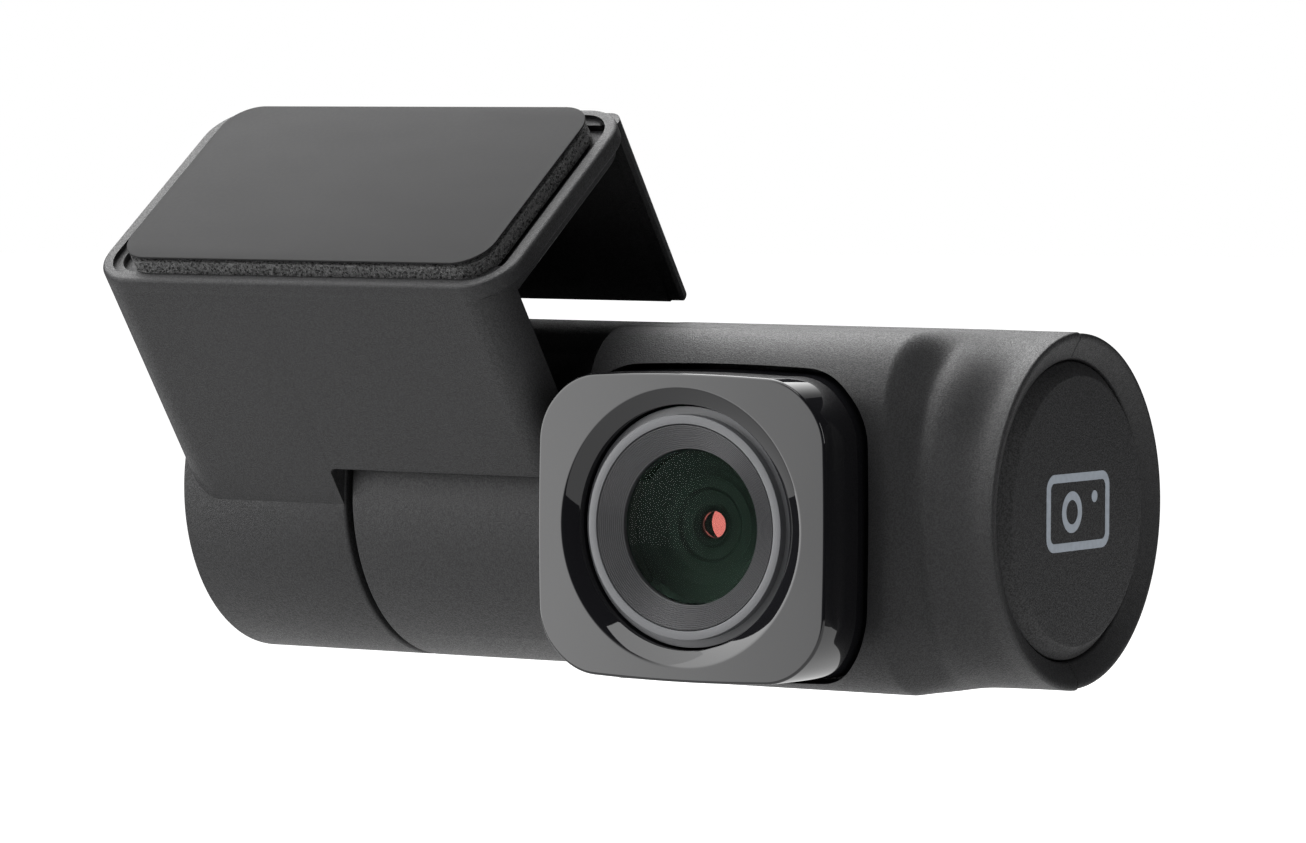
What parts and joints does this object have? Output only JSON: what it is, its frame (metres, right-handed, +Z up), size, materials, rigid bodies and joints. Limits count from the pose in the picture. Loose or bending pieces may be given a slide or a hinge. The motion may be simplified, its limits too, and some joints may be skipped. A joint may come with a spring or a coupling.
{
  "type": "dash camera",
  "caption": "Barrel-shaped vehicle camera with a square glossy lens surround, tilting in a hollow bracket whose sloping adhesive pad sticks to the windscreen.",
  "frame": {"origin": "middle of the adhesive pad's outer face, which sticks to the windscreen", "axes": "+X along the barrel from the bracket to the free end, +Z up in use, and the lens looks along -Y"},
  "size_m": [0.0682, 0.0365, 0.0406],
  "materials": {
    "matte_black_plastic": "fine moulded grain",
    "release_film": "smooth satin film",
    "foam": "open-cell foam",
    "fibre": "fibre washer",
    "steel": "plated",
    "gloss_black_plastic": "high gloss",
    "lens_ring": "satin, dark anodised",
    "black_anodised": "black anodised",
    "lens_glass": "coated optical glass",
    "circuit_board": "solder mask",
    "chip": "moulded package",
    "connector_plastic": "natural nylon",
    "aluminium": "extruded",
    "capacitor_sleeve": "shrink sleeve"
  },
  "bodies": {
    "bracket": {"release_film": "release_film", "foam_pad": "foam", "bracket_shell": "matte_black_plastic", "cup_disc": "matte_black_plastic", "friction_washer": "fibre"},
    "camera": {"front_shell": "matte_black_plastic", "rear_shell": "matte_black_plastic", "end_cap": "matte_black_plastic", "pivot_hub": "matte_black_plastic", "spring_washer": "steel", "clamp_disc": "steel", "pivot_screw": "steel", "lens_bezel": "gloss_black_plastic", "lens_trim_ring": "lens_ring", "lens_barrel": "black_anodised", "front_lens": "lens_glass", "lens_spacer": "black_anodised", "middle_lens": "lens_glass", "rear_lens": "lens_glass", "lens_retainer": "black_anodised", "lens_holder": "black_anodised", "ir_filter": "lens_glass", "image_sensor": "chip", "sensor_board": "circuit_board", "board_connector": "connector_plastic", "main_board": "circuit_board", "image_processor": "chip", "memory_chip": "chip", "heat_sink": "aluminium", "storage_capacitor": "capacitor_sleeve", "socket_sleeve": "steel", "socket_tongue": "connector_plastic", "board_screw_1": "steel", "board_screw_2": "steel", "shell_screw_1": "steel", "shell_screw_2": "steel", "shell_screw_3": "steel", "shell_screw_4": "steel"}
  },
  "joints": [
    {"name": "camera_tilt", "type": "hinge", "parent": "bracket", "child": "camera", "pos_m": [0, 0.01622, -0.02258], "axis": [1, 0, 0], "range_deg": [-45, 45]}
  ]
}
